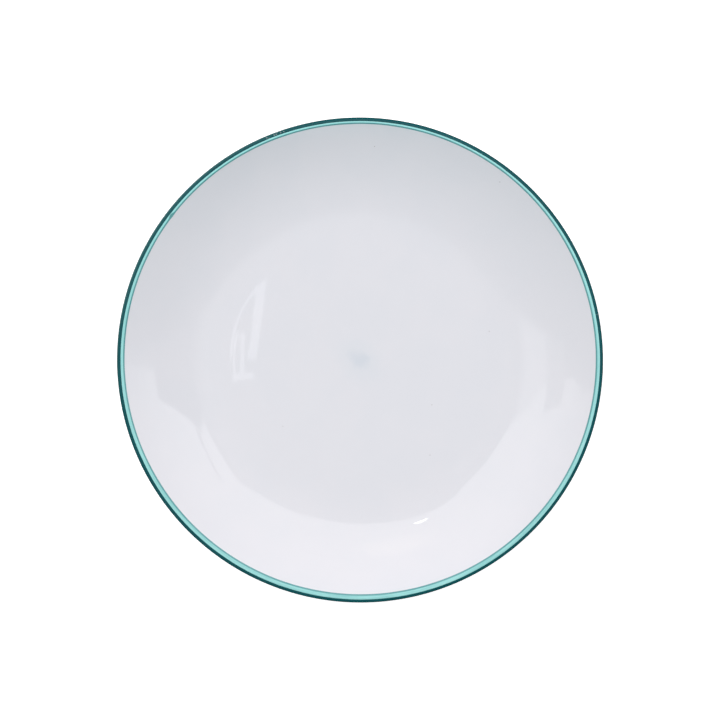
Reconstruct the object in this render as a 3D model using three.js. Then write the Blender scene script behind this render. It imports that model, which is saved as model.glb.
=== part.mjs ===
// A coupe dinner plate in glazed porcelain with three enamel lines at its lip.
// Millimetres, +Z up. The origin is the centre of the foot's contact plane.
//
// Every piece is turned about Z from one half section. The section is kept as the glazed surface,
// and "depth" is the distance below it: 0 on the glaze, GLAZE on the porcelain, -ENAMEL on a band.
import * as THREE from 'three';

// Size of the finished plate
const PLATE_RADIUS = 133.5;
const ENAMEL = 0.12;
const GLAZE = 0.35;

// The face: a flat floor, then one long curve up to the lip
const FLOOR_RADIUS = 71;
const FLOOR_HEIGHT = 7.6;
const WALL_CURVE = 118;
const LIP_THICKNESS = 3.8;

// The back: a long curve from the lip to the root of the foot
const BACK_CURVE = 132.6;
const FOOT_ROOT_RADIUS = 79.4;

// The foot ring, and the shallow recess inside it
const RECESS_HEIGHT = 2.6;
const RECESS_RADIUS = 71.2;
const ROOT_FILLET = 1.5;
const OUTER_DRAFT = THREE.MathUtils.degToRad(12);
const INNER_DRAFT = THREE.MathUtils.degToRad(24);
const CORNER = 0.5;
const GLAZE_STOP = 1.1;

// The enamel: a fine line up to the lip, an aqua band on the lip's crown, and a dark band over the
// rest of it. The first two numbers are the inner edges of line and dark band, as radii in plan.
const INNER_LINE_RADIUS = 129.48;
const LIP_BAND_RADIUS = 131.71;
const LIP_BAND_WRAP = THREE.MathUtils.degToRad(-38);

// Facets round the plate, and steps along each stretch of the section
const ROUND = 64;
const WALL_STEPS = 6;
const BACK_STEPS = 6;
const LIP_STEP = THREE.MathUtils.degToRad(24);
const FILLET_STEPS = 2;

const QUARTER = Math.PI / 2;

// Worked out from the above
const LIP_RADIUS = LIP_THICKNESS / 2;
const lipCentreX = PLATE_RADIUS - ENAMEL - LIP_RADIUS;
const lipSlope = Math.asin((lipCentreX - FLOOR_RADIUS) / (WALL_CURVE + LIP_RADIUS));
const wallCentre = new THREE.Vector2(FLOOR_RADIUS, FLOOR_HEIGHT + WALL_CURVE);
const lipCentre = pointAt(wallCentre, WALL_CURVE + LIP_RADIUS, lipSlope - QUARTER);
const backCentre = pointAt(lipCentre, BACK_CURVE - LIP_RADIUS, lipSlope + QUARTER);
const rootSlope = Math.asin((FOOT_ROOT_RADIUS - backCentre.x) / BACK_CURVE);
const outerRoot = pointAt(backCentre, BACK_CURVE + ROOT_FILLET, rootSlope - QUARTER);
const innerRoot = new THREE.Vector2(RECESS_RADIUS, RECESS_HEIGHT - ROOT_FILLET);
const innerLineAngle = Math.asin((INNER_LINE_RADIUS - FLOOR_RADIUS) / WALL_CURVE) - QUARTER;

// The lip in three stretches, from its face side to its back side, which join at the bands' edges.
// Its widest point, at angle 0, is one of its points.
const lipBandAngle = Math.acos((LIP_BAND_RADIUS - lipCentreX) / LIP_RADIUS);
const aquaAngles = lipAngles(lipSlope + QUARTER, lipBandAngle);
const lipBandAngles = [...lipAngles(lipBandAngle, 0), ...lipAngles(0, LIP_BAND_WRAP).slice(1)];
const bareLipAngles = lipAngles(LIP_BAND_WRAP, lipSlope - QUARTER);

function pointAt(centre, radius, angle) {
  return new THREE.Vector2(centre.x + radius * Math.cos(angle), centre.y + radius * Math.sin(angle));
}

// Points on an arc at the given angles
function arc(centre, radius, angles) {
  return angles.map((angle) => pointAt(centre, radius, angle));
}

function evenAngles(from, to, steps) {
  return Array.from({ length: steps + 1 }, (_, i) => from + ((to - from) * i) / steps);
}

function lipAngles(from, to) {
  return evenAngles(from, to, Math.max(1, Math.round(Math.abs(to - from) / LIP_STEP)));
}

// The face from the axis to the edge of the inner line, which runs on from there to the lip
function faceLine(depth) {
  const centre = new THREE.Vector2(0, FLOOR_HEIGHT - depth);
  const angles = evenAngles(-QUARTER, innerLineAngle, WALL_STEPS);
  return [centre, ...arc(wallCentre, WALL_CURVE + depth, angles)];
}

function lipLine(depth, angles) {
  return arc(lipCentre, LIP_RADIUS - depth, angles);
}

// The back from below the lip to the root of the foot
function backLine(depth) {
  const angles = evenAngles(lipSlope - QUARTER, rootSlope - QUARTER, BACK_STEPS);
  return arc(backCentre, BACK_CURVE - depth, angles).slice(1);
}

// One side of the foot: the fillet at its root, then straight down to where the glaze stops.
// side is 1 for the outer side and -1 for the inner one.
function footSide(depth, root, side, rootAngle, draft) {
  const sideAngle = side > 0 ? Math.PI - draft : draft;
  const fillet = arc(root, ROOT_FILLET + depth, evenAngles(rootAngle, sideAngle, FILLET_STEPS));
  const top = fillet.at(-1);
  const stop = new THREE.Vector2(sideAt(top, side, draft, GLAZE_STOP), GLAZE_STOP);
  return [...fillet, stop];
}

// Radius of a foot side at a height, where top is its highest point
function sideAt(top, side, draft, height) {
  return top.x - side * (top.y - height) * Math.tan(draft);
}

function outerFootSide(depth) {
  return footSide(depth, outerRoot, 1, rootSlope + QUARTER, OUTER_DRAFT);
}

function innerFootSide(depth) {
  return footSide(depth, innerRoot, -1, QUARTER, INNER_DRAFT);
}

// The rounded corner between a foot side and the contact face
function footCorner(sidePoint, side, draft) {
  const touchHeight = CORNER * (1 - Math.sin(draft));
  const touch = sideAt(sidePoint, side, draft, touchHeight);
  const centre = new THREE.Vector2(touch - side * CORNER * Math.cos(draft), CORNER);
  const start = side > 0 ? -draft : Math.PI + draft;
  const end = side > 0 ? -QUARTER : Math.PI + QUARTER;
  return arc(centre, CORNER, evenAngles(start, end, FILLET_STEPS));
}

// A solid of revolution about Z from a half section, listed anticlockwise with +X to the right
function turned(section) {
  const geometry = new THREE.LatheGeometry(section, ROUND);
  geometry.rotateX(QUARTER);
  return geometry;
}

// A layer between two lines of the section that run the same way and end level with each other
function layerSection(outer, inner) {
  return [...outer, ...inner.toReversed()];
}

function closed(section) {
  return [...section, section[0].clone()];
}

function porcelainBody() {
  const inner = innerFootSide(GLAZE);
  const outer = outerFootSide(GLAZE);
  const section = [
    new THREE.Vector2(0, RECESS_HEIGHT + GLAZE),
    ...inner,
    ...footCorner(inner.at(-1), -1, INNER_DRAFT),
    ...footCorner(outer.at(-1), 1, OUTER_DRAFT).toReversed(),
    ...outer.toReversed(),
    ...backLine(GLAZE).toReversed().slice(1),
    ...lipLine(GLAZE, bareLipAngles).toReversed(),
    ...lipLine(GLAZE, lipBandAngles).toReversed().slice(1),
    ...lipLine(GLAZE, aquaAngles).toReversed().slice(1),
    ...faceLine(GLAZE).toReversed(),
  ];
  return turned(section);
}

function faceGlazeLine(depth) {
  return [...faceLine(depth), ...lipLine(depth, aquaAngles)];
}

function backGlazeLine(depth) {
  const lip = [...lipLine(depth, lipBandAngles), ...lipLine(depth, bareLipAngles).slice(1)];
  return [...lip, ...backLine(depth), ...outerFootSide(depth).slice(1)];
}

function faceGlaze() {
  return turned(layerSection(faceGlazeLine(GLAZE), faceGlazeLine(0)));
}

function backGlaze() {
  return turned(closed(layerSection(backGlazeLine(GLAZE), backGlazeLine(0))));
}

function recessGlaze() {
  const line = (depth) => [new THREE.Vector2(0, RECESS_HEIGHT + depth), ...innerFootSide(depth)];
  return turned(layerSection(line(0), line(GLAZE)));
}

function lipEnamel(angles) {
  return turned(closed(layerSection(lipLine(0, angles), lipLine(-ENAMEL, angles))));
}

function innerLine() {
  const line = (depth) => [faceLine(depth).at(-1), lipLine(depth, aquaAngles)[0]];
  return turned(closed(layerSection(line(0), line(-ENAMEL))));
}

const bisque = { color: 0xece8df, roughness: 0.55, metalness: 0 };
const clearGlaze = { color: 0xe9eaef, roughness: 0.07, metalness: 0 };
const darkTeal = { color: 0x17565b, roughness: 0.14, metalness: 0 };
const aqua = { color: 0xa6dedd, roughness: 0.12, metalness: 0 };
const paleTeal = { color: 0x76a6a9, roughness: 0.12, metalness: 0 };

function piece(name, geometry, finish) {
  const mesh = new THREE.Mesh(geometry, new THREE.MeshStandardMaterial(finish));
  mesh.name = name;
  return mesh;
}

const plate = new THREE.Group();
plate.add(
  piece('porcelain_body', porcelainBody(), bisque),
  piece('face_glaze', faceGlaze(), clearGlaze),
  piece('back_glaze', backGlaze(), clearGlaze),
  piece('recess_glaze', recessGlaze(), clearGlaze),
  piece('lip_band', lipEnamel(lipBandAngles), darkTeal),
  piece('aqua_band', lipEnamel(aquaAngles), aqua),
  piece('inner_line', innerLine(), paleTeal),
);

export default plate;
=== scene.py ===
import math

import bmesh
import bpy
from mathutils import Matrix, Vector, noise


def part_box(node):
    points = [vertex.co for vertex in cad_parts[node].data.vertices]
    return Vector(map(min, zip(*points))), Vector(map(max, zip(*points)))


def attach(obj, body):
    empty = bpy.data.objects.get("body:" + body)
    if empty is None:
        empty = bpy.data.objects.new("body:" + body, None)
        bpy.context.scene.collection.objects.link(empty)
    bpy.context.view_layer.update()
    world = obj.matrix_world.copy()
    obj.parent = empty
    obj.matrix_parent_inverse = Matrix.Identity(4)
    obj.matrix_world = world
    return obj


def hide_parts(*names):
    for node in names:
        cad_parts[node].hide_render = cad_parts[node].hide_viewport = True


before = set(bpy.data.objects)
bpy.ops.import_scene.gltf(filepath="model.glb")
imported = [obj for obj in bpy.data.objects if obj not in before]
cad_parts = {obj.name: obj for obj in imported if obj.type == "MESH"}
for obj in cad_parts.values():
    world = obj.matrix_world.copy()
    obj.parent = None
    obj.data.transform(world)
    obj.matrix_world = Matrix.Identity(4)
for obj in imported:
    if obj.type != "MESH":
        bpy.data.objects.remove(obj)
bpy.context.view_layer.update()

MM = 0.001
QUARTER = math.pi / 2


# ---------------------------------------------------------------------------------------------
# Sizes. The CAD nodes' boxes give the thicknesses, heights and overall radius; the curves of the
# section are the plate's own. Depth is the distance below the glazed surface.
# ---------------------------------------------------------------------------------------------

PLATE_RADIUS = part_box("lip_band")[1].x
GLAZED_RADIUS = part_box("back_glaze")[1].x
ENAMEL = PLATE_RADIUS - GLAZED_RADIUS
GLAZE = GLAZED_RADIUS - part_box("porcelain_body")[1].x
LIP_RADIUS = 1.9 * MM
LIP_CENTRE = (GLAZED_RADIUS - LIP_RADIUS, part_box("back_glaze")[1].z - LIP_RADIUS)
FLOOR_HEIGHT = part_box("face_glaze")[0].z + GLAZE
GLAZE_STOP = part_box("recess_glaze")[0].z
RECESS_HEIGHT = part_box("recess_glaze")[1].z - GLAZE

# The face's curve comes on gradually, between these two radii
FLOOR_EDGE = 68.0 * MM
CURVE_EDGE = 81.3 * MM
EASE = CURVE_EDGE - FLOOR_EDGE

BACK_SLOPE = math.radians(30.3)
BACK_CURVE = 132.6 * MM
FOOT_ROOT_RADIUS = 79.4 * MM
RECESS_RADIUS = 71.2 * MM
ROOT_FILLET = 1.5 * MM
OUTER_DRAFT = math.radians(12)
INNER_DRAFT = math.radians(24)
FOOT_CORNER = 0.5 * MM

# The enamel lines' edges on the face side: a radius, and how far east and north the banding
# wheel's centre was from the plate's
LINE_INNER_EDGE = (129.28 * MM, 0.08 * MM, 0.48 * MM)
LINE_OUTER_EDGE = (130.10 * MM, 0.10 * MM, 0.43 * MM)
TEAL_EDGE = (131.38 * MM, 0.14 * MM, -0.16 * MM)
TEAL_WRAP = math.radians(-38)
AQUA_HEIGHT = 0.45 * ENAMEL
LINE_HEIGHT = 0.6 * ENAMEL
SUNK = 0.02 * MM

# The glazed face and the glazed back meet under the teal band
GLAZE_MEETING = math.radians(60)

# The kiln leaves the plate very slightly oval
OVAL = 0.2 * MM
OVAL_AT = math.radians(-24)

# How many steps round the plate, for the clay and glaze and for the enamel
GLAZE_SPOKES = 360
BAND_SPOKES = 720

# Edges sharper than this stay sharp in the shading
CREASE = math.radians(50)

# Height of the unevenness that wears the foot's contact face
CONTACT_WEAR = 0.03 * MM


def on_circle(centre, radius, angle):
    return (centre[0] + radius * math.cos(angle), centre[1] + radius * math.sin(angle))


def ease_lift(curve):
    """How much the gradual start lifts the circle of the face's curve."""
    return EASE**2 / (24 * curve)


def wall_curve():
    """The radius of the face's curve that comes tangent to the lip."""
    run = LIP_CENTRE[0] - (FLOOR_EDGE + CURVE_EDGE) / 2
    curve = run
    for _ in range(8):
        rise = LIP_CENTRE[1] - FLOOR_HEIGHT - ease_lift(curve)
        curve = (run**2 + rise**2 - LIP_RADIUS**2) / (2 * (LIP_RADIUS + rise))
    return curve


WALL_CURVE = wall_curve()
WALL_CENTRE = ((FLOOR_EDGE + CURVE_EDGE) / 2, FLOOR_HEIGHT + WALL_CURVE + ease_lift(WALL_CURVE))
LIP_SLOPE = math.asin((LIP_CENTRE[0] - WALL_CENTRE[0]) / (WALL_CURVE + LIP_RADIUS))
LIP_START = LIP_CENTRE[0] - LIP_RADIUS * math.sin(LIP_SLOPE)
BACK_CENTRE = on_circle(LIP_CENTRE, BACK_CURVE - LIP_RADIUS, BACK_SLOPE + QUARTER)
ROOT_SLOPE = math.asin((FOOT_ROOT_RADIUS - BACK_CENTRE[0]) / BACK_CURVE)
OUTER_ROOT = on_circle(BACK_CENTRE, BACK_CURVE + ROOT_FILLET, ROOT_SLOPE - QUARTER)
INNER_ROOT = (RECESS_RADIUS, RECESS_HEIGHT - ROOT_FILLET)


def evenly(first, last, steps):
    return [first + (last - first) * i / steps for i in range(steps + 1)]


def rounded(x):
    """The quarter round of a bead's edge: 0 at 0, and 1 from 1 on."""
    x = min(1.0, max(0.0, x))
    return math.sqrt(1 - (1 - x) ** 2)


# ---------------------------------------------------------------------------------------------
# The half section, as stretches that run from the axis over the lip to the foot
# ---------------------------------------------------------------------------------------------


def face_point(radius, depth):
    """The point of a plan radius on the glazed face or on the lip's upper half, at a depth."""
    if radius <= FLOOR_EDGE:
        return (radius, FLOOR_HEIGHT - depth)
    if radius <= CURVE_EDGE:
        into = radius - FLOOR_EDGE
        slope = math.asin(into**2 / (2 * WALL_CURVE * EASE))
        height = FLOOR_HEIGHT + into**3 / (6 * WALL_CURVE * EASE)
        return (radius + depth * math.sin(slope), height - depth * math.cos(slope))
    if radius <= LIP_START:
        angle = math.asin((radius - WALL_CENTRE[0]) / WALL_CURVE) - QUARTER
        return on_circle(WALL_CENTRE, WALL_CURVE + depth, angle)
    return lip_point(lip_angle(radius), depth)


def lip_angle(radius):
    return math.acos(min(1.0, (radius - LIP_CENTRE[0]) / LIP_RADIUS))


def lip_point(angle, depth):
    return on_circle(LIP_CENTRE, LIP_RADIUS - depth, angle)


def face_line(depth, floor_steps=24, ease_steps=10, wall_steps=46):
    floor = evenly(0, FLOOR_EDGE, floor_steps)
    ease = evenly(FLOOR_EDGE, CURVE_EDGE, ease_steps)[1:]
    wall = evenly(CURVE_EDGE, LIP_START, wall_steps)[1:]
    return [face_point(radius, depth) for radius in floor + ease + wall]


def lip_line(depth, first, last, steps):
    return [lip_point(angle, depth) for angle in evenly(first, last, steps)]


def back_line(depth, steps=40):
    angles = evenly(BACK_SLOPE - QUARTER, ROOT_SLOPE - QUARTER, steps)
    return [on_circle(BACK_CENTRE, BACK_CURVE - depth, angle) for angle in angles]


def foot_side(depth, root, side, root_angle, draft, stop, steps=8):
    """The fillet at the foot's root, then straight down to the height stop."""
    side_angle = math.pi - draft if side > 0 else draft
    fillet = [
        on_circle(root, ROOT_FILLET + depth, angle)
        for angle in evenly(root_angle, side_angle, steps)
    ]
    top = fillet[-1]
    heights = evenly(top[1], stop, steps)[1:]
    return fillet + [(side_radius(top, side, draft, height), height) for height in heights]


def side_radius(top, side, draft, height):
    return top[0] - side * (top[1] - height) * math.tan(draft)


def outer_foot(depth, stop):
    return foot_side(depth, OUTER_ROOT, 1, ROOT_SLOPE + QUARTER, OUTER_DRAFT, stop)


def inner_foot(depth, stop):
    return foot_side(depth, INNER_ROOT, -1, QUARTER, INNER_DRAFT, stop)


def foot_corner(point, side, draft, steps=6):
    """The rounded corner between a foot side, which ends at point, and the contact face."""
    touch_height = FOOT_CORNER * (1 - math.sin(draft))
    touch = side_radius(point, side, draft, touch_height)
    centre = (touch - side * FOOT_CORNER * math.cos(draft), FOOT_CORNER)
    first = -draft if side > 0 else math.pi + draft
    last = -QUARTER if side > 0 else math.pi + QUARTER
    return [on_circle(centre, FOOT_CORNER, angle) for angle in evenly(first, last, steps)]


# ---------------------------------------------------------------------------------------------
# Turning a section into a mesh
# ---------------------------------------------------------------------------------------------


def wander(turn, seed, reach, pace=5):
    """The small unsteadiness of something done by hand on a turning plate."""
    round_plate = Vector((math.cos(turn), math.sin(turn), 0))
    slow = noise.noise(round_plate * pace + Vector((0, 0, seed)))
    quick = noise.noise(round_plate * pace * 6 + Vector((0, 0, seed + 9)))
    return reach * (slow + 0.4 * quick)


def as_fired(point, turn):
    """A point of the section at an angle round the plate, with the kiln's oval."""
    radius, height = point
    radius += OVAL * (radius / PLATE_RADIUS) ** 2 * math.cos(2 * (turn - OVAL_AT))
    return (radius * math.cos(turn), radius * math.sin(turn), height)


def turned(name, section, spokes, finish, node):
    """A closed solid from section(turn), a loop of points whose ends may both be on the axis."""
    turns = [2 * math.pi * i / spokes for i in range(spokes)]
    loops = [section(turn) for turn in turns]
    first, last = loops[0][0], loops[0][-1]
    on_axis = first[0] == 0 and last[0] == 0
    if on_axis:
        loops = [loop[1:-1] for loop in loops]
    rows = len(loops[0])
    vertices = [as_fired(point, turn) for loop, turn in zip(loops, turns) for point in loop]
    faces = []
    for i in range(spokes):
        here, there = i * rows, (i + 1) % spokes * rows
        for j in range(rows - 1 if on_axis else rows):
            k = (j + 1) % rows
            faces.append((here + j, there + j, there + k, here + k))
    if on_axis:
        vertices += [(0, 0, first[1]), (0, 0, last[1])]
        for i in range(spokes):
            here, there = i * rows, (i + 1) % spokes * rows
            faces.append((len(vertices) - 2, there, here))
            faces.append((len(vertices) - 1, here + rows - 1, there + rows - 1))
    mesh = bpy.data.meshes.new(name)
    mesh.from_pydata(vertices, [], faces)
    face_outwards(mesh)
    mesh.polygons.foreach_set("use_smooth", [True] * len(mesh.polygons))
    mesh.set_sharp_from_angle(angle=CREASE)
    mesh.materials.append(finish)
    piece = bpy.data.objects.new(name, mesh)
    bpy.context.scene.collection.objects.link(piece)
    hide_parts(node)
    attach(piece, "root")
    return piece


def face_outwards(mesh):
    work = bmesh.new()
    work.from_mesh(mesh)
    bmesh.ops.recalc_face_normals(work, faces=work.faces)
    work.to_mesh(mesh)
    work.free()


# ---------------------------------------------------------------------------------------------
# The sections of the seven pieces
# ---------------------------------------------------------------------------------------------


def body_section(turn):
    """The fired clay under the glaze, from the axis under the recess round to the axis again."""
    inner = inner_foot(GLAZE, GLAZE_STOP)
    outer = outer_foot(GLAZE, GLAZE_STOP)
    inner_corner = foot_corner(inner[-1], -1, INNER_DRAFT)
    outer_corner = foot_corner(outer[-1], 1, OUTER_DRAFT)[::-1]
    start, end = inner_corner[-1][0], outer_corner[0][0]
    contact = [
        (radius, CONTACT_WEAR * max(0.0, noise.noise(Vector((radius * 900, turn * 30, 3)))))
        for radius in evenly(start, end, 6)[1:-1]
    ]
    recess = [(radius, RECESS_HEIGHT + GLAZE) for radius in evenly(0, RECESS_RADIUS, 6)[:-1]]
    back = back_line(GLAZE, 16)[::-1]
    lip = lip_line(GLAZE, BACK_SLOPE - QUARTER, LIP_SLOPE + QUARTER, 14)[1:-1]
    face = face_line(GLAZE, 6, 5, 18)[::-1]
    foot = inner + inner_corner + contact + outer_corner + outer[::-1]
    return recess + foot + back[1:] + lip + face


def glaze_layer(line):
    """The loop between line(depth) at the surface and the same line just inside the clay."""
    return line(0) + line(GLAZE + SUNK)[::-1]


def face_section(turn):
    def line(depth):
        lip = lip_line(depth, LIP_SLOPE + QUARTER, GLAZE_MEETING, 14)
        return face_line(depth) + lip[1:]

    return glaze_layer(line)


def beaded(surface, inside, stop, width=0.6 * MM):
    """The glaze thins to a rounded edge where it stops above the foot's contact face."""
    beads = []
    for (x, z), (inner_x, inner_z) in zip(surface, inside):
        share = rounded((z - stop) / width + 0.02)
        beads.append((inner_x + (x - inner_x) * share, inner_z + (z - inner_z) * share))
    return beads


def glaze_stop(turn, seed):
    """The height of the wiped edge of the glaze."""
    return GLAZE_STOP + 0.12 * MM + wander(turn, seed, 0.28 * MM, 9)


def back_section(turn):
    stop = glaze_stop(turn, 2)
    inside = outer_foot(GLAZE + SUNK, stop)[1:]
    foot = beaded(outer_foot(0, stop)[1:], inside, stop)

    def line(depth):
        lip = lip_line(depth, GLAZE_MEETING, BACK_SLOPE - QUARTER, 16)
        return lip + back_line(depth)[1:] + (foot if depth == 0 else inside)

    return glaze_layer(line)


def recess_section(turn):
    stop = glaze_stop(turn, 5)
    inside = inner_foot(GLAZE + SUNK, stop)
    foot = beaded(inner_foot(0, stop), inside, stop)

    def line(depth):
        flat = [(radius, RECESS_HEIGHT + depth) for radius in evenly(0, RECESS_RADIUS, 20)[:-1]]
        return flat + (foot if depth == 0 else inside)

    return glaze_layer(line)


def drawn_edge(edge, turn, seed):
    radius, east, north = edge
    centred = radius + east * math.cos(turn) + north * math.sin(turn)
    return centred + wander(turn, seed, 0.045 * MM, 8)


def lap(turn, at=142.4, width=0.55):
    """1 where the fine line's two ends overlap and drag outwards over the aqua, in degrees."""
    off = (math.degrees(turn) - at) / width
    return math.exp(-(off**2) * (1 if off < 0 else 0.35))


def band_stations(steps):
    """Shares of a band's width, closer together at its two rounded edges."""
    return [(1 - math.cos(math.pi * i / steps)) / 2 for i in range(steps + 1)]


def enamel_line(inner, outer, height, edge_width, steps=16):
    """A raised line between two plan radii of the face and the lip's upper half."""
    top = []
    base = []
    for share in band_stations(steps):
        radius = inner + (outer - inner) * share
        from_edge = min(radius - inner, outer - radius)
        top.append(face_point(radius, -height * rounded(from_edge / edge_width)))
        base.append(face_point(radius, SUNK))
    return top + base[::-1]


def line_section(turn):
    inner = drawn_edge(LINE_INNER_EDGE, turn, 11)
    outer = drawn_edge(LINE_OUTER_EDGE, turn, 13) + 0.85 * MM * lap(turn)
    return enamel_line(inner - 0.12 * MM * lap(turn), outer, LINE_HEIGHT, 0.12 * MM)


def aqua_section(turn):
    inner = drawn_edge(LINE_OUTER_EDGE, turn, 13) - 0.1 * MM
    outer = drawn_edge(TEAL_EDGE, turn, 17) + 0.2 * MM
    return enamel_line(inner, outer, AQUA_HEIGHT, 0.1 * MM)


def teal_section(turn, steps=26, edge_width=0.16 * MM):
    """The dark band, from its edge on the lip's crown over the lip and a little way under."""
    first = lip_angle(drawn_edge(TEAL_EDGE, turn, 17))
    last = TEAL_WRAP + wander(turn, 19, math.radians(4), 6)
    top = []
    base = []
    for share in band_stations(steps):
        angle = first + (last - first) * share
        from_edge = min(first - angle, angle - last) * LIP_RADIUS
        top.append(lip_point(angle, -ENAMEL * rounded(from_edge / edge_width)))
        base.append(lip_point(angle, SUNK))
    return top + base[::-1]


# ---------------------------------------------------------------------------------------------
# Shader work
# ---------------------------------------------------------------------------------------------


class Bench:
    """Adds nodes to one tree. A value that is another node's output is linked to."""

    def __init__(self, tree):
        self.tree = tree

    def feed(self, socket, value):
        if isinstance(value, bpy.types.NodeSocket):
            self.tree.links.new(value, socket)
        elif value is not None:
            socket.default_value = value

    def add(self, kind, *values, named=None, **settings):
        node = self.tree.nodes.new(kind)
        for name, setting in settings.items():
            setattr(node, name, setting)
        for socket, value in zip(node.inputs, values):
            self.feed(socket, value)
        for name, value in (named or {}).items():
            self.feed(node.inputs[name], value)
        return node

    def sum(self, operation, *values):
        return self.add("ShaderNodeMath", *values, operation=operation).outputs[0]

    def vector(self, operation, *values):
        node = self.add("ShaderNodeVectorMath", *values, operation=operation)
        scalar = operation in ("DISTANCE", "LENGTH", "DOT_PRODUCT")
        return node.outputs[1 if scalar else 0]

    def within(self, value, low, high, kind="SMOOTHSTEP"):
        """0 at low rising to 1 at high; low may be the higher number."""
        node = self.add("ShaderNodeMapRange", value, low, high, 0.0, 1.0, interpolation_type=kind)
        return node.outputs[0]

    def blend(self, share, first, second):
        node = self.tree.nodes.new("ShaderNodeMix")
        node.data_type = "RGBA"
        for socket, value in ((0, share), (6, first), (7, second)):
            self.feed(node.inputs[socket], value)
        return node.outputs[2]

    def either(self, share, first, second):
        """The first shader where share is 0 and the second where it is 1."""
        return self.add("ShaderNodeMixShader", share, first, second).outputs[0]

    def mottle(self, place, scale, detail=2.0, roughness=0.5):
        """Noise round 0.5, with that many features to a metre if place is in metres."""
        named = {"Vector": place, "Scale": scale, "Detail": detail, "Roughness": roughness}
        return self.add("ShaderNodeTexNoise", named=named).outputs["Fac"]

    def ramp(self, share, stops):
        node = self.add("ShaderNodeValToRGB", share)
        elements = node.color_ramp.elements
        for i, (position, level) in enumerate(stops):
            element = elements[i] if i < 2 else elements.new(position)
            element.position = position
            element.color = level if isinstance(level, tuple) else (level, level, level, 1)
        return node.outputs[0]

    def place(self):
        """The place on the plate, in metres from the centre of the foot."""
        return self.add("ShaderNodeTexCoord").outputs["Object"]

    def plan(self):
        """The same with its height left out."""
        return self.vector("MULTIPLY", self.place(), (1, 1, 0))

    def group(self, group, **values):
        node = self.add("ShaderNodeGroup", node_tree=group)
        for name, value in values.items():
            self.feed(node.inputs[name.replace("_", " ")], value)
        return node.outputs


def new_group(name, inputs, outputs):
    """A shader group with number inputs, as {name: value}, and number outputs."""
    group = bpy.data.node_groups.new(name, "ShaderNodeTree")
    for label, value in inputs.items():
        kind = "NodeSocketVector" if isinstance(value, tuple) else "NodeSocketFloat"
        socket = group.interface.new_socket(label, in_out="INPUT", socket_type=kind)
        socket.default_value = value
    for label in outputs:
        group.interface.new_socket(label, in_out="OUTPUT", socket_type="NodeSocketFloat")
    bench = Bench(group)
    given = bench.add("NodeGroupInput").outputs
    results = bench.add("NodeGroupOutput").inputs
    return group, bench, given, results


def make_pinholes():
    """Scattered tiny dark specks. Size is a speck's width and Spacing their cell, in metres."""
    inputs = {"Spacing": 0.02, "Size": 0.0003, "Share": 0.3}
    group, bench, given, results = new_group("pinholes", inputs, ["Mask"])
    cells = bench.sum("DIVIDE", 1.0, given["Spacing"])
    named = {"Vector": bench.place(), "Scale": cells}
    voronoi = bench.add("ShaderNodeTexVoronoi", named=named).outputs
    reach = bench.sum("MULTIPLY", bench.sum("DIVIDE", given["Size"], given["Spacing"]), 0.5)
    ratio = bench.sum("DIVIDE", voronoi["Distance"], reach)
    dot = bench.within(ratio, 1.0, 0.5)
    chance = bench.add("ShaderNodeSeparateColor", voronoi["Color"]).outputs[0]
    kept = bench.sum("LESS_THAN", chance, given["Share"])
    bench.feed(results["Mask"], bench.sum("MULTIPLY", dot, kept))
    return group


def make_glaze_ripple():
    """Height of the throwing rings and of the glaze's slow undulation, each from 0 to 1."""
    inputs = {"Ring Spacing": 0.0045, "Undulation": 0.016, "Ring Share": 0.5}
    group, bench, given, results = new_group("glaze_ripple", inputs, ["Height"])
    plan = bench.plan()
    radius = bench.vector("LENGTH", plan)
    direction = bench.vector("NORMALIZE", plan)
    ring = bench.sum("DIVIDE", radius, given["Ring Spacing"])
    up = bench.add("ShaderNodeCombineXYZ", 0.0, 0.0, ring).outputs[0]
    along = bench.vector("ADD", bench.vector("MULTIPLY", direction, (1.2, 1.2, 0)), up)
    rings = bench.mottle(along, 1.0, 1.0)
    slow = bench.mottle(bench.place(), bench.sum("DIVIDE", 1.0, given["Undulation"]), 1.5)
    height = bench.add("ShaderNodeMix", given["Ring Share"], None, slow, rings).outputs[0]
    bench.feed(results["Height"], height)
    return group


def make_glaze_pooling():
    """Where the glaze has run together thick, and where its surface is a little less smooth."""
    inputs = {"Pool": 0.022, "Haze": 0.00625}
    group, bench, given, results = new_group("glaze_pooling", inputs, ["Thick", "Haze"])
    place = bench.place()
    pools = bench.mottle(place, bench.sum("DIVIDE", 1.0, given["Pool"]), 3.0)
    bench.feed(results["Thick"], bench.within(pools, 0.35, 0.7))
    haze = bench.mottle(place, bench.sum("DIVIDE", 1.0, given["Haze"]), 3.0)
    bench.feed(results["Haze"], bench.within(haze, 0.3, 0.7, "LINEAR"))
    return group


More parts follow.
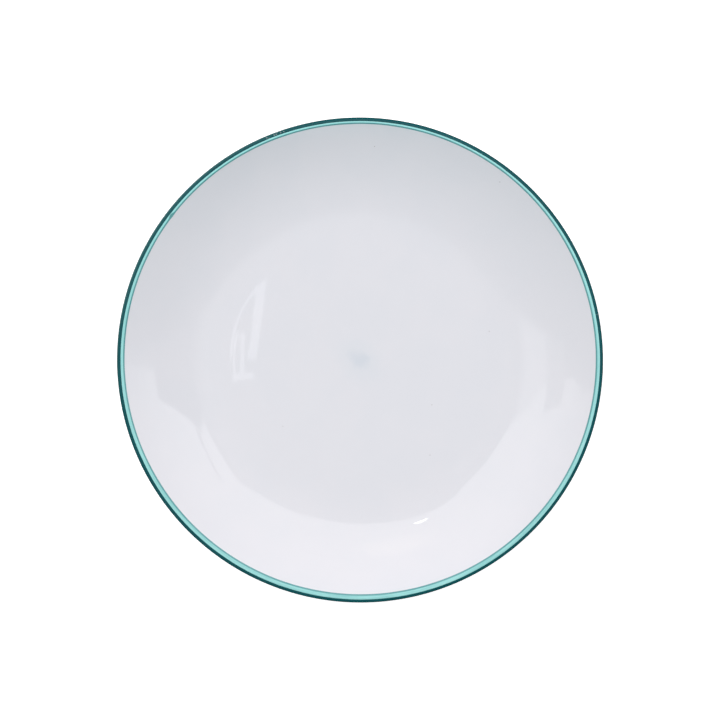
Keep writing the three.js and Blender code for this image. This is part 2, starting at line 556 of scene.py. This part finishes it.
def make_brush_streaks():
    """Streaks that run round the plate as a band is drawn: long along it and fine across.

    Ridge is their height. Thin is 1 where a streak is High or more and 0 where it is Low or less,
    with some of the slower change along the band mixed in.
    """
    inputs = {"Length": 0.02, "Width": 0.0002, "Seed": 0.0, "Low": 0.35, "High": 0.7}
    group, bench, given, results = new_group("brush_streaks", inputs, ["Ridge", "Thin"])
    place = bench.place()
    plan = bench.vector("MULTIPLY", place, (1, 1, 0))
    direction = bench.vector("NORMALIZE", plan)
    height = bench.add("ShaderNodeSeparateXYZ", place).outputs[2]
    across = bench.sum("SUBTRACT", bench.vector("LENGTH", plan), height)
    lengths = bench.sum("DIVIDE", PLATE_RADIUS, given["Length"])
    scaled = bench.add(
        "ShaderNodeVectorMath", direction, None, None, lengths, operation="SCALE"
    ).outputs[0]
    widths = bench.sum("ADD", bench.sum("DIVIDE", across, given["Width"]), given["Seed"])
    up = bench.add("ShaderNodeCombineXYZ", 0.0, 0.0, widths).outputs[0]
    ridge = bench.mottle(bench.vector("ADD", scaled, up), 1.0, 3.0, 0.6)
    bench.feed(results["Ridge"], ridge)
    seed = bench.add("ShaderNodeCombineXYZ", 0.0, 0.0, given["Seed"]).outputs[0]
    flow = bench.mottle(bench.vector("ADD", scaled, seed), 2.2, 2.0)
    streak = bench.sum("MULTIPLY", bench.within(ridge, given["Low"], given["High"]), 0.7)
    paler_share = bench.sum("MULTIPLY_ADD", bench.within(flow, 0.3, 0.75), 0.3, streak)
    bench.feed(results["Thin"], paler_share)
    return group


def make_wear_and_glint_flecks():
    """Flecks, both where a band is rubbed through and as painted highlight flecks: many round one
    direction and few elsewhere.
    """
    inputs = {"Towards": (0.0, 1.0, 0.0), "Reach": 0.06, "Fleck": 0.0011, "Elsewhere": 0.02}
    group, bench, given, results = new_group("wear_and_glint_flecks", inputs, ["Mask"])
    place = bench.place()
    direction = bench.vector("NORMALIZE", bench.vector("MULTIPLY", place, (1, 1, 0)))
    off = bench.vector("DISTANCE", direction, given["Towards"])
    near = bench.within(bench.sum("DIVIDE", off, given["Reach"]), 1.0, 0.6)
    named = {"Vector": place, "Scale": bench.sum("DIVIDE", 1.0, given["Fleck"])}
    voronoi = bench.add("ShaderNodeTexVoronoi", named=named).outputs
    dot = bench.within(voronoi["Distance"], 0.42, 0.2)
    chance = bench.add("ShaderNodeSeparateColor", voronoi["Color"]).outputs[0]
    share = bench.add("ShaderNodeMix", near, None, given["Elsewhere"], 0.8).outputs[0]
    bench.feed(results["Mask"], bench.sum("MULTIPLY", dot, bench.sum("LESS_THAN", chance, share)))
    return group


PINHOLES = make_pinholes()
GLAZE_RIPPLE = make_glaze_ripple()
GLAZE_POOLING = make_glaze_pooling()
BRUSH_STREAKS = make_brush_streaks()
WEAR_AND_GLINT_FLECKS = make_wear_and_glint_flecks()


def new_finish(name):
    finish = bpy.data.materials.new(name)
    finish.use_nodes = True
    finish.node_tree.nodes.clear()
    bench = Bench(finish.node_tree)
    shader = bench.add("ShaderNodeBsdfPrincipled")
    bench.add("ShaderNodeOutputMaterial", shader.outputs[0])
    return finish, bench, shader.inputs


def raise_surface(bench, inputs, height, distance):
    """A bump of that height in metres, for a pattern that goes from 0 to 1."""
    bump = bench.add("ShaderNodeBump", named={"Height": height, "Strength": 1.0})
    bump.inputs["Distance"].default_value = distance
    bench.feed(inputs["Normal"], bump.outputs[0])


def lay_over(bench, inputs, share, tone):
    """Covers the base colour with a tone, by share from 0 to 1."""
    under = inputs["Base Color"].links[0].from_socket
    bench.feed(inputs["Base Color"], bench.blend(share, under, tone))


GLAZE_TONE = (0.80, 0.783, 0.831, 1)
GLAZE_THICK_TONE = (0.788, 0.776, 0.826, 1)
PINHOLE_TONE = (0.23, 0.2, 0.19, 1)


def glaze_finish(name, pool, pinhole_share, ring_share, ripple, smooth_floor=False):
    """A clear glaze over white porcelain, with ripples of that height in metres."""
    finish, bench, inputs = new_finish(name)
    inputs["IOR"].default_value = 1.55
    pooling = bench.group(GLAZE_POOLING, Pool=pool)
    tone = bench.blend(pooling["Thick"], GLAZE_TONE, GLAZE_THICK_TONE)
    holes = bench.group(PINHOLES, Spacing=0.024, Size=0.00026, Share=pinhole_share)["Mask"]
    tone = bench.blend(bench.sum("MULTIPLY", holes, 0.6), tone, PINHOLE_TONE)
    bench.feed(inputs["Base Color"], tone)
    roughness = bench.sum("MULTIPLY_ADD", pooling["Haze"], 0.008, 0.008)
    bench.feed(inputs["Roughness"], roughness)
    height = bench.group(GLAZE_RIPPLE, Ring_Share=ring_share)["Height"]
    if smooth_floor:
        radius = bench.vector("LENGTH", bench.plan())
        curved = bench.within(radius, FLOOR_EDGE, CURVE_EDGE + 8 * MM)
        rough_share = bench.sum("MULTIPLY_ADD", curved, 0.96, 0.04)
        height = bench.sum("MULTIPLY", bench.sum("SUBTRACT", height, 0.5), rough_share)
    raise_surface(bench, inputs, height, ripple)
    return finish, bench, inputs, tone


# Iron specks in the face's glaze, as places in mm east and north of the centre
IRON_SPECKS = ((-43, -37), (40, -25), (39, -53), (72, 16), (77, 98), (8, 118))
IRON_TONE = (0.2, 0.15, 0.13, 1)
CENTRE_TONE = (0.74, 0.755, 0.81, 1)
CENTRE_CORE_TONE = (0.65, 0.68, 0.755, 1)


def face_finish():
    """The face's glaze, with its iron specks and the cool patch at its centre."""
    finish, bench, inputs, tone = glaze_finish("face_glaze_finish", 0.0222, 0.05, 0.8, 55e-6, True)
    plan = bench.plan()
    swirl = bench.add("ShaderNodeTexNoise", named={"Vector": plan, "Scale": 110.0, "Detail": 3.0})
    shift = bench.vector("SUBTRACT", swirl.outputs["Color"], (0.5, 0.5, 0.5))
    shift = bench.vector("MULTIPLY", shift, (0.010, 0.010, 0))
    turned_plan = bench.add(
        "ShaderNodeVectorRotate", bench.vector("ADD", plan, shift), rotation_type="Z_AXIS"
    )
    turned_plan.inputs["Angle"].default_value = math.radians(40)
    long_way = bench.vector("MULTIPLY", turned_plan.outputs[0], (0.8, 1.15, 0))
    off = bench.vector("LENGTH", long_way)
    halo = bench.within(off, 0.0175, 0.0015)
    core = bench.within(off, 0.0070, 0.0008)
    tone = bench.blend(bench.sum("MULTIPLY", halo, 0.62), tone, CENTRE_TONE)
    tone = bench.blend(bench.sum("MULTIPLY", core, 0.55), tone, CENTRE_CORE_TONE)
    for east, north in IRON_SPECKS:
        off = bench.vector("DISTANCE", plan, (east * MM, north * MM, 0))
        speck = bench.within(off, 0.26 * MM, 0.14 * MM)
        tone = bench.blend(bench.sum("MULTIPLY", speck, 0.75), tone, IRON_TONE)
    bench.feed(inputs["Base Color"], tone)
    return finish


TEAL_TONE = (0.002, 0.072, 0.082, 1)
TEAL_PALE_TONE = (0.005, 0.1, 0.113, 1)
# Painted highlight: the paler teal of the lip's outer face to the north-west
TEAL_HIGHLIGHT_TONE = (0.085, 0.19, 0.19, 1)
# Painted highlight: the pale grey of the glint flecks on the teal band
TEAL_GLINT_TONE = (0.62, 0.66, 0.66, 1)
AQUA_TONE = (0.245, 0.595, 0.59, 1)
AQUA_PALE_TONE = (0.36, 0.74, 0.72, 1)
# Painted highlight: the lighter aqua of the band's north side
AQUA_HIGHLIGHT_TONE = (0.43, 0.90, 0.89, 1)
LINE_TONE = (0.095, 0.34, 0.355, 1)
LINE_PALE_TONE = (0.16, 0.415, 0.425, 1)

# Height of the ridges that the brush leaves
BRUSH_RIDGE = 2e-6


def enamel_finish(name, tone, pale_tone, length, width, seed, streak_low, streak_high, ior=1.5):
    """A brushed enamel line, with paler streaks along it and a faint ridge in each."""
    finish, bench, inputs = new_finish(name)
    inputs["IOR"].default_value = ior
    streaks = bench.group(
        BRUSH_STREAKS, Length=length, Width=width, Seed=seed, Low=streak_low, High=streak_high
    )
    bench.feed(inputs["Base Color"], bench.blend(streaks["Thin"], tone, pale_tone))
    bench.feed(inputs["Roughness"], bench.sum("MULTIPLY_ADD", streaks["Thin"], 0.06, 0.07))
    raise_surface(bench, inputs, streaks["Ridge"], BRUSH_RIDGE)
    return finish, bench, inputs


def teal_finish():
    """The dark band, with a painted highlight on its outside to the north-west, and painted
    highlight flecks in one place.
    """
    finish, bench, inputs = enamel_finish(
        "teal_enamel_finish", TEAL_TONE, TEAL_PALE_TONE, 0.018, 0.00022, 3.0, 0.35, 0.7, ior=1.25
    )
    place = bench.place()
    # Painted highlight: the lip's outer face towards the north-west is painted a paler, greyer
    # teal where it reflects the light
    direction = bench.vector("NORMALIZE", bench.plan())
    off = bench.vector("DISTANCE", direction, (-0.82, 0.57, 0))
    height = bench.add("ShaderNodeSeparateXYZ", place).outputs[2]
    towards = bench.within(off, 0.95, 0.2)
    outside = bench.within(height, 0.02397, 0.0233)
    lay_over(bench, inputs, bench.sum("MULTIPLY", towards, outside), TEAL_HIGHLIGHT_TONE)
    # Painted highlight: pale grey flecks on the teal band to the north, standing in for the
    # light's glints on the lip's outer edge
    wear_and_glint = bench.group(
        WEAR_AND_GLINT_FLECKS, Towards=(-0.358, 0.934, 0), Reach=0.062, Fleck=0.00105, Elsewhere=0.004
    )["Mask"]
    lay_over(bench, inputs, bench.sum("MULTIPLY", wear_and_glint, 0.45), TEAL_GLINT_TONE)
    return finish


def aqua_finish():
    """The pale band, painted lighter towards the north as a painted highlight, and rubbed in one
    place to the east.
    """
    finish, bench, inputs = enamel_finish(
        "aqua_enamel_finish", AQUA_TONE, AQUA_PALE_TONE, 0.03, 0.0003, 7.0, 0.35, 0.65, ior=1.4
    )
    # Painted highlight: the band is painted lighter towards the north, where the light falls on
    # the lip's crown
    north = bench.add("ShaderNodeSeparateXYZ", bench.place()).outputs[1]
    paler_share = bench.within(north, -0.7 * PLATE_RADIUS, PLATE_RADIUS, "LINEAR")
    lay_over(bench, inputs, paler_share, AQUA_HIGHLIGHT_TONE)
    wear_and_glint = bench.group(
        WEAR_AND_GLINT_FLECKS, Towards=(0.94, -0.34, 0), Reach=0.05, Fleck=0.0006, Elsewhere=0.01
    )["Mask"]
    lay_over(bench, inputs, bench.sum("MULTIPLY", wear_and_glint, 0.25), GLAZE_TONE)
    return finish


def line_finish():
    return enamel_finish(
        "thin_teal_finish", LINE_TONE, LINE_PALE_TONE, 0.012, 0.00014, 13.0, 0.3, 0.7
    )[0]


BISQUE_TONE = (0.84, 0.805, 0.76, 1)
BISQUE_DIRTY_TONE = (0.64, 0.60, 0.565, 1)
BISQUE_GRIT_TONE = (0.5, 0.45, 0.41, 1)
FLASHING_TONE = (0.72, 0.53, 0.39, 1)
GRIT_HEIGHT = 60e-6


def bisque_finish():
    """Bare fired clay: gritty, rubbed grey where it stands, and flashed where the glaze stops."""
    finish, bench, inputs = new_finish("bisque_finish")
    place = bench.place()
    grit = bench.mottle(place, 2600.0, 4.0, 0.65)
    cloud = bench.mottle(place, 120.0, 3.0)
    height = bench.add("ShaderNodeSeparateXYZ", place).outputs[2]
    lowest = bench.within(height, 0.25 * MM, 0.04 * MM)
    stands = bench.sum("MULTIPLY", lowest, bench.within(cloud, 0.3, 0.65))
    tone = bench.blend(bench.sum("MULTIPLY", stands, 0.5), BISQUE_TONE, BISQUE_DIRTY_TONE)
    by_glaze = bench.within(height, 0.7 * MM, 1.15 * MM)
    flash = bench.sum("MULTIPLY", by_glaze, bench.within(cloud, 0.35, 0.6))
    tone = bench.blend(bench.sum("MULTIPLY", flash, 0.45), tone, FLASHING_TONE)
    specks = bench.group(PINHOLES, Spacing=0.003, Size=0.0003, Share=0.12)["Mask"]
    tone = bench.blend(bench.sum("MULTIPLY", specks, 0.5), tone, PINHOLE_TONE)
    grains = bench.sum("MULTIPLY", bench.within(grit, 0.5, 0.66), 0.6)
    tone = bench.blend(grains, tone, BISQUE_GRIT_TONE)
    bench.feed(inputs["Base Color"], tone)
    roughness = bench.add("ShaderNodeMapRange", grit, 0.2, 0.8, 0.62, 0.85).outputs[0]
    bench.feed(inputs["Roughness"], roughness)
    raise_surface(bench, inputs, grit, GRIT_HEIGHT)
    return finish


# ---------------------------------------------------------------------------------------------
# The plate
# ---------------------------------------------------------------------------------------------

turned("fired_body", body_section, GLAZE_SPOKES, bisque_finish(), "porcelain_body")
turned("glazed_face", face_section, GLAZE_SPOKES, face_finish(), "face_glaze")
turned(
    "glazed_back", back_section, GLAZE_SPOKES,
    glaze_finish("back_glaze_finish", 0.028, 0.12, 0.5, 20e-6)[0], "back_glaze",
)
turned(
    "glazed_recess", recess_section, GLAZE_SPOKES,
    glaze_finish("recess_glaze_finish", 0.018, 0.16, 0.65, 22e-6)[0], "recess_glaze",
)
turned("teal_lip", teal_section, BAND_SPOKES, teal_finish(), "lip_band")
turned("aqua_crown", aqua_section, BAND_SPOKES, aqua_finish(), "aqua_band")
turned("fine_line", line_section, BAND_SPOKES, line_finish(), "inner_line")


# ---------------------------------------------------------------------------------------------
# Floor, camera and light
# ---------------------------------------------------------------------------------------------

CAMERA_HEIGHT = 1.1
PLATE_SHARE = 0.6746
SEEN_WIDTH = 2 * PLATE_RADIUS / PLATE_SHARE
FLOOR_HALF = 3.0
FLOOR_DROP = 0.02 * MM
WHITE = (1, 1, 1, 1)
SHADED = (0.4, 0.4, 0.4, 1)


def floor_surface(bench, tone, glow):
    """Matt paper of a grey tone, with a glow of its own."""
    surface = bench.add("ShaderNodeBsdfPrincipled")
    surface.inputs["Base Color"].default_value = (tone, tone, tone, 1)
    surface.inputs["Roughness"].default_value = 0.9
    surface.inputs["Specular IOR Level"].default_value = 0.1
    surface.inputs["Emission Color"].default_value = WHITE
    surface.inputs["Emission Strength"].default_value = glow
    return surface


def pale_floor():
    """A plain white floor, dark in reflections, that lights the underside most from the west."""
    mesh = bpy.data.meshes.new("floor")
    sides = ((-1, -1), (1, -1), (1, 1), (-1, 1))
    corners = [(FLOOR_HALF * east, FLOOR_HALF * north, 0) for east, north in sides]
    mesh.from_pydata(corners, [], [(0, 1, 2, 3)])
    floor = bpy.data.objects.new("floor", mesh)
    floor.location.z = -FLOOR_DROP
    bpy.context.scene.collection.objects.link(floor)
    paper = bpy.data.materials.new("floor_paper")
    paper.use_nodes = True
    paper.node_tree.nodes.clear()
    bench = Bench(paper.node_tree)
    path = bench.add("ShaderNodeLightPath").outputs
    behind = bench.add("ShaderNodeNewGeometry").outputs["Backfacing"]
    shown = floor_surface(bench, 0.92, 0.6).outputs[0]
    lighting = floor_surface(bench, 0.25, 0.62)
    east = bench.add("ShaderNodeSeparateXYZ", bench.place()).outputs[0]
    glow = bench.blend(bench.within(east, 0.13, -0.13), SHADED, WHITE)
    bench.feed(lighting.inputs["Emission Color"], glow)
    lighting = lighting.outputs[0]
    reflected = floor_surface(bench, 0.12, 0.0).outputs[0]
    clear = bench.add("ShaderNodeBsdfTransparent").outputs[0]
    surface = bench.either(path["Is Glossy Ray"], lighting, reflected)
    surface = bench.either(path["Is Camera Ray"], surface, shown)
    bench.add("ShaderNodeOutputMaterial", bench.either(behind, surface, clear))
    mesh.materials.append(paper)


def camera_above():
    camera = bpy.data.cameras.new("camera")
    stand = bpy.data.objects.new("camera", camera)
    stand.location = (0, 0, CAMERA_HEIGHT)
    bpy.context.scene.collection.objects.link(stand)
    camera.sensor_width = 36
    lip_distance = CAMERA_HEIGHT - LIP_CENTRE[1]
    camera.angle = 2 * math.atan(SEEN_WIDTH / 2 / lip_distance)
    camera.clip_start = 0.05
    camera.clip_end = 20
    bpy.context.scene.camera = stand


# How far across the room the levels are given, and the brightest that a level may be
REACH = 1.4
LIGHT = 4.0

FAR_CLOTH = (1.6, 1.8, 1.87, 1)
WARM_GLOW = (3.0, 2.8, 2.55, 1)
VENT = (1.8, 1.85, 1.85, 1)
STAND = (0.6, 0.6, 0.6, 1)
LAMP = (12, 12, 12, 1)
LAMP_FRAME = (2.2, 2.2, 2.3, 1)
SOUTH_SIDE = (0.28, 0.6, 0.62, 1)
BACKGROUND = 1.2


def across_room(bench, east, *stops):
    """A level that changes across the room from west to east, as (place, level) pairs."""
    share = bench.within(east, -REACH, REACH, "LINEAR")
    placed = [((place + REACH) / (2 * REACH), level / LIGHT) for place, level in stops]
    return bench.sum("MULTIPLY", bench.ramp(share, placed), LIGHT)


def bar(bench, value, middle, half_width, soft):
    """1 within half_width of the middle, with soft edges."""
    off = bench.sum("ABSOLUTE", bench.sum("SUBTRACT", value, middle))
    return bench.within(off, half_width + soft, half_width)


def crossed(bench, one_way, other_way):
    """The rectangle where two bars cross, each as (value, middle, half width, soft)."""
    return bench.sum("MULTIPLY", bar(bench, *one_way), bar(bench, *other_way))


def lamp_frame(bench, east, north):
    """Three slim bright bars over the west side: a long leaning one, a short one and a foot."""
    leaning = bench.sum("MULTIPLY_ADD", north, -0.14, east)
    long_bar = crossed(bench, (leaning, -0.0553, 0.002, 0.0005), (north, 0.028, 0.026, 0.003))
    short_bar = crossed(bench, (east, -0.06, 0.0009, 0.0005), (north, 0.0035, 0.0095, 0.001))
    foot = crossed(bench, (north, -0.0082, 0.0014, 0.0006), (east, -0.066, 0.011, 0.001))
    return bench.sum("MAXIMUM", long_bar, bench.sum("MAXIMUM", short_bar, foot))


def studio_light():
    """A bright cloth overhead on the north side, and under its edge a board and a dim room.

    Places on the ceiling are in heights: 1 is as far out as the ceiling is high.
    """
    world = bpy.data.worlds.new("studio")
    bpy.context.scene.world = world
    world.use_nodes = True
    world.node_tree.nodes.clear()
    bench = Bench(world.node_tree)
    direction = bench.add("ShaderNodeTexCoord").outputs["Generated"]
    x, y, up = bench.add("ShaderNodeSeparateXYZ", direction).outputs
    height = bench.sum("MAXIMUM", up, 0.02)
    east = bench.sum("DIVIDE", x, height)
    north = bench.sum("DIVIDE", y, height)

    cloth = across_room(
        bench, east, (-1.4, 1.4), (-0.9, 1.8), (-0.5, 2.15), (0, 2.1), (0.5, 1.8), (1.2, 1.25)
    )
    far = bench.sum("MULTIPLY", bench.within(north, 0.8, 1.4), 0.6)
    cloth = bench.blend(far, cloth, FAR_CLOTH)
    shelf = across_room(
        bench, east, (-1.2, 0.83), (-0.77, 0.8), (-0.74, 1.05), (-0.52, 1.05), (-0.46, 1.65),
        (-0.26, 1.6), (-0.2, 0.85), (0.2, 0.95), (0.25, 0.6), (0.3, 0.35), (0.74, 0.35),
        (0.8, 0.58), (1.2, 0.7),
    )
    room = across_room(
        bench, east, (-1.2, 0.9), (-0.8, 0.74), (-0.3, 0.6), (0, 0.48), (0.2, 0.3), (0.4, 0.15),
        (0.7, 0.06), (0.85, 0.18), (1.2, 0.42),
    )
    edge = across_room(
        bench, east, (-1.2, 0.37), (-0.9, 0.27), (-0.78, 0.27), (-0.75, 0.37), (-0.52, 0.35),
        (-0.5, 0.26), (-0.3, 0.3), (-0.24, 0.29), (-0.18, 0.3), (-0.125, 0.445),
        (0.225, 0.425), (0.245, 0.29), (0.27, 0.3), (0.3, 0.34), (0.74, 0.35), (0.78, 0.24),
        (1.2, 0.23),
    )
    edge = bench.sum("SUBTRACT", edge, 0.2)
    ceiling = bench.blend(bench.within(north, -0.09, -0.06), room, shelf)
    above = bench.sum("SUBTRACT", north, edge)
    ceiling = bench.blend(bench.within(above, -0.008, 0.008), ceiling, cloth)
    place = bench.add("ShaderNodeCombineXYZ", east, north, 0.0).outputs[0]
    glow = bench.within(bench.vector("DISTANCE", place, (-0.1, 0.54, 0)), 0.17, 0.0)
    ceiling = bench.blend(bench.sum("MULTIPLY", glow, 0.9), ceiling, WARM_GLOW)
    vent = crossed(bench, (east, 0.03, 0.045, 0.01), (north, 0.585, 0.02, 0.01))
    ceiling = bench.blend(vent, ceiling, VENT)
    leaning = bench.sum("MULTIPLY_ADD", north, -0.12, east)
    stand = crossed(bench, (leaning, 0.32, 0.008, 0.003), (north, 0.2, 0.11, 0.01))
    ceiling = bench.blend(stand, ceiling, STAND)
    lamp = bench.within(bench.vector("DISTANCE", place, (-0.115, 0.31, 0)), 0.016, 0.012)
    ceiling = bench.blend(lamp, ceiling, LAMP)
    frame_light = bench.sum("MULTIPLY", lamp_frame(bench, east, north), 0.9)
    ceiling = bench.blend(frame_light, ceiling, LAMP_FRAME)
    horizon = bench.sum("MULTIPLY_ADD", x, 0.28, bench.sum("MULTIPLY_ADD", y, -0.12, 0.56))
    light = bench.blend(bench.within(up, 0.60, 0.36), ceiling, horizon)
    light = bench.blend(bench.within(y, -0.72, -0.82), light, SOUTH_SIDE)
    seen = bench.add("ShaderNodeLightPath").outputs["Is Camera Ray"]
    lit = bench.add("ShaderNodeBackground", light, 1.0).outputs[0]
    white = bench.add("ShaderNodeBackground", WHITE, BACKGROUND).outputs[0]
    bench.add("ShaderNodeOutputWorld", bench.either(seen, lit, white))


pale_floor()
camera_above()
studio_light()
bpy.context.scene.view_settings.view_transform = "Standard"
